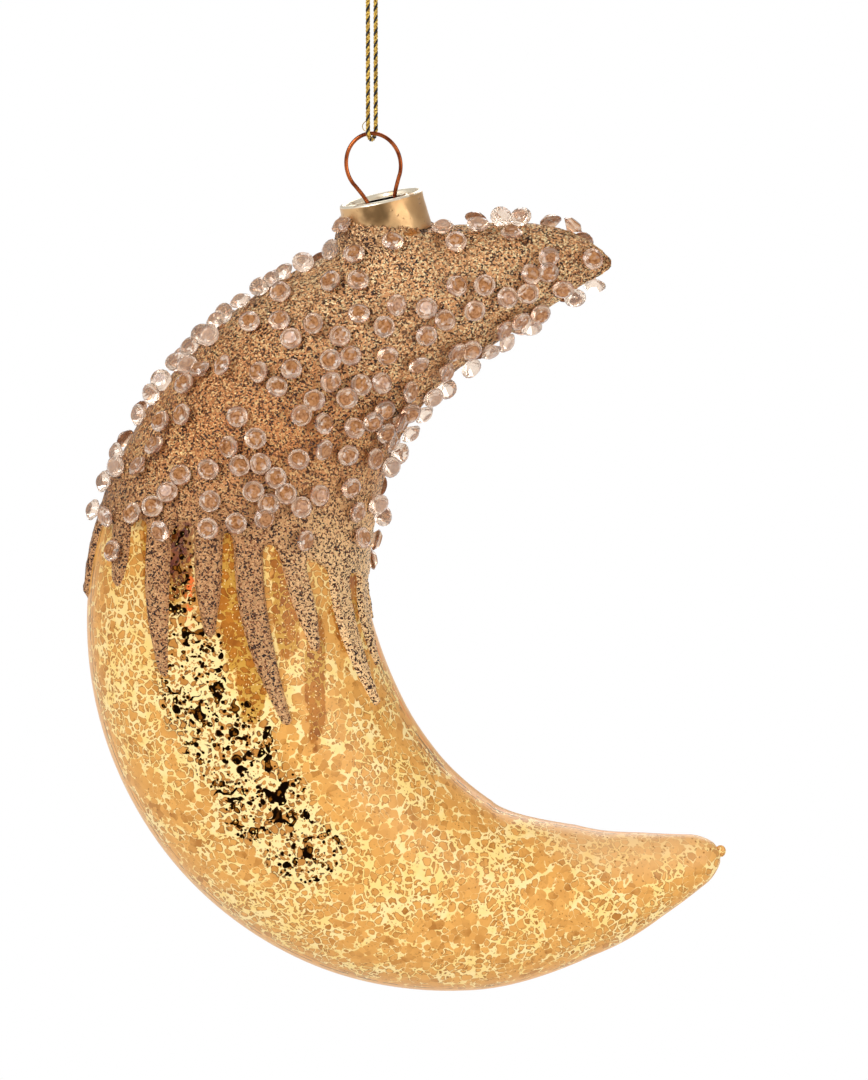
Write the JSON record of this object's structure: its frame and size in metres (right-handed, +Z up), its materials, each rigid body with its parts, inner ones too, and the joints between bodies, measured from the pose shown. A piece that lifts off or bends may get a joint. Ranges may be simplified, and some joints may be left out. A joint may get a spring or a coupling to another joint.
{
  "type": "glass moon ornament",
  "caption": "Hanging blown-glass crescent moon with a silvered inside, a dripping glitter coat set with stones, a metal cap with a sprung wire ring, and a cord loop.",
  "frame": {"origin": "where a hook bears on the inside of the cord loop, at its top", "axes": "+Z up along the hanging cord, -Y out of the front face, +X to the right of the front face, the side that the horns point to"},
  "size_m": [0.1108, 0.0444, 0.1829],
  "materials": {
    "cord": "twisted gold and black metallic yarn",
    "wire": "polished, copper toned",
    "cap": "thin stamped sheet, glossy champagne gold",
    "glass": "clear amber glass over a mottled silvered inside, glossy",
    "glitter": "fine champagne and dark glitter set in clear resin",
    "stone": "cut clear brilliant"
  },
  "bodies": {
    "cord": {"cord_loop": "cord", "cord_knot": "cord"},
    "hanger": {"hanger_wire": "wire"},
    "cap": {"cap": "cap"},
    "moon": {"glass_moon": "glass", "glitter_coat": "glitter", "stone_01": "stone", "stone_02": "stone", "stone_03": "stone", "stone_04": "stone", "stone_05": "stone", "stone_06": "stone", "stone_07": "stone", "stone_08": "stone", "stone_09": "stone", "stone_10": "stone", "stone_11": "stone", "stone_12": "stone", "stone_13": "stone", "stone_14": "stone", "stone_15": "stone", "stone_16": "stone", "stone_17": "stone", "stone_18": "stone", "stone_19": "stone", "stone_20": "stone", "stone_21": "stone", "stone_22": "stone", "stone_23": "stone", "stone_24": "stone", "stone_25": "stone", "stone_26": "stone", "stone_27": "stone", "stone_28": "stone", "stone_29": "stone", "stone_30": "stone", "stone_31": "stone", "stone_32": "stone", "stone_33": "stone", "stone_34": "stone", "stone_35": "stone", "stone_36": "stone", "stone_37": "stone", "stone_38": "stone", "stone_39": "stone", "stone_40": "stone", "stone_41": "stone", "stone_42": "stone", "stone_43": "stone", "stone_44": "stone", "stone_45": "stone", "stone_46": "stone", "stone_47": "stone", "stone_48": "stone", "stone_49": "stone", "stone_50": "stone", "stone_51": "stone", "stone_52": "stone"}
  },
  "joints": [
    {"name": "ring_rock", "type": "hinge", "parent": "cord", "child": "hanger", "pos_m": [0, 0, -0.03735], "axis": [0, 1, 0], "range_deg": [-90, 90]},
    {"name": "wire_draw", "type": "slide", "parent": "hanger", "child": "cap", "axis": [0.2079, 0, -0.9781], "range_m": [0, 0.0045]},
    {"name": "moon_turn", "type": "hinge", "parent": "cap", "child": "moon", "pos_m": [0.00147, 0, -0.04424], "axis": [-0.2079, 0, 0.9781], "continuous": true}
  ]
}
